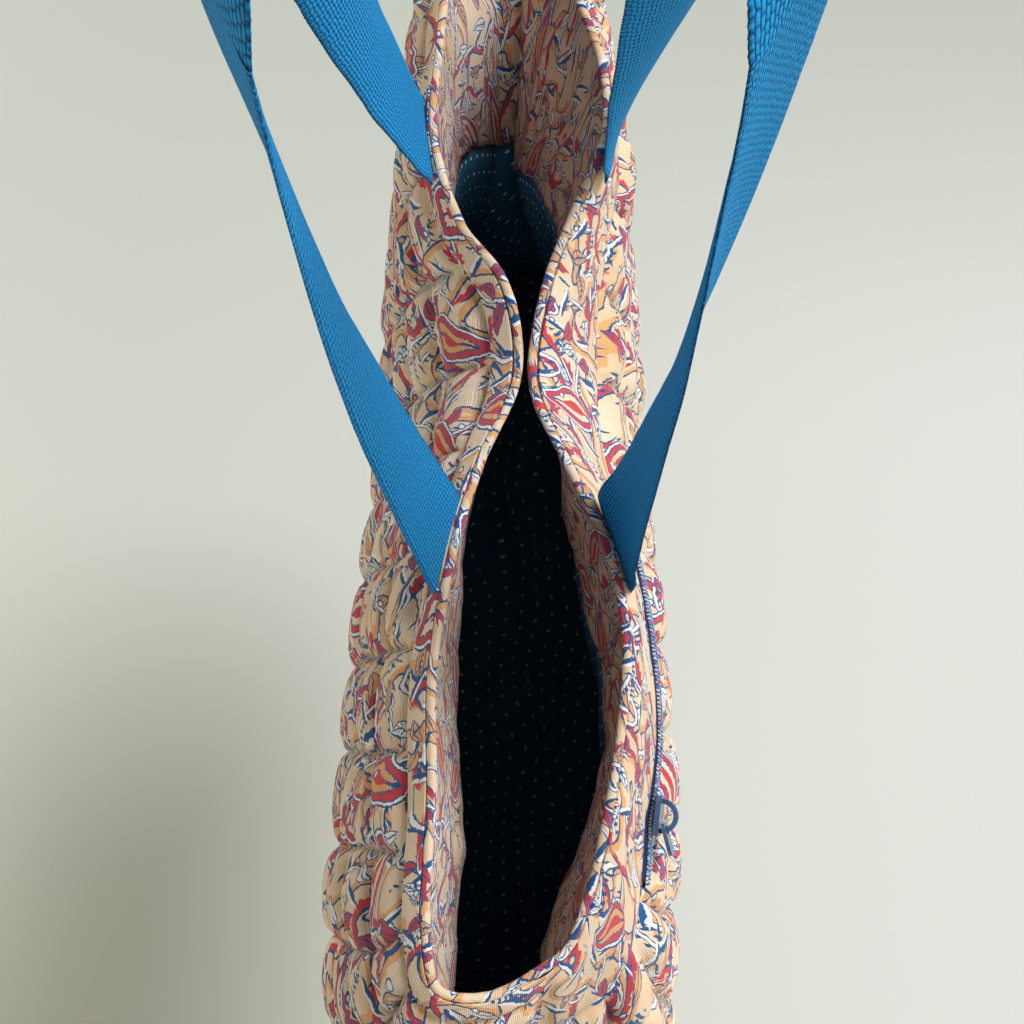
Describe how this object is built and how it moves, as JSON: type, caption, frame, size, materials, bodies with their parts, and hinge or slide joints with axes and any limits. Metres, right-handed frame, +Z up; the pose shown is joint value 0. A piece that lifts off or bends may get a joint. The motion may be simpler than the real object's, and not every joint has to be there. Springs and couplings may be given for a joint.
{
  "type": "shopping bag",
  "caption": "Soft quilted cotton shopping bag with printed outer panels, rolled mouth edge, dark dotted lining, webbing handles and an outer zip pocket.",
  "frame": {"origin": "the carry point: level with the tops of the two handle loops, midway over the mouth", "axes": "+Z up, +Y along the bag's length to the far end of the picture, +X towards the panel with the zip pocket"},
  "size_m": [0.1615, 0.5022, 0.6891],
  "materials": {
    "printed_cotton": "matte printed cotton, quilted over wadding",
    "dotted_lining": "matte plain-weave cotton with pin dots",
    "webbing": "ribbed cotton webbing",
    "zip_coil": "nylon coil",
    "painted_slider": "painted die-cast metal"
  },
  "bodies": {
    "bag": {"front_panel": "printed_cotton", "back_panel": "printed_cotton", "base_panel": "printed_cotton", "rim_roll": "printed_cotton", "facing": "printed_cotton", "lining": "dotted_lining", "handle_left": "webbing", "handle_right": "webbing", "zip_coil": "zip_coil", "zip_slider": "painted_slider"},
    "pull": {"zip_pull": "painted_slider"}
  },
  "joints": [
    {"name": "pull_hinge", "type": "hinge", "parent": "bag", "child": "pull", "pos_m": [0.05038, -0.16954, -0.38517], "axis": [-0.2669, -0.1301, 0.9549], "range_deg": [-5, 120]}
  ]
}
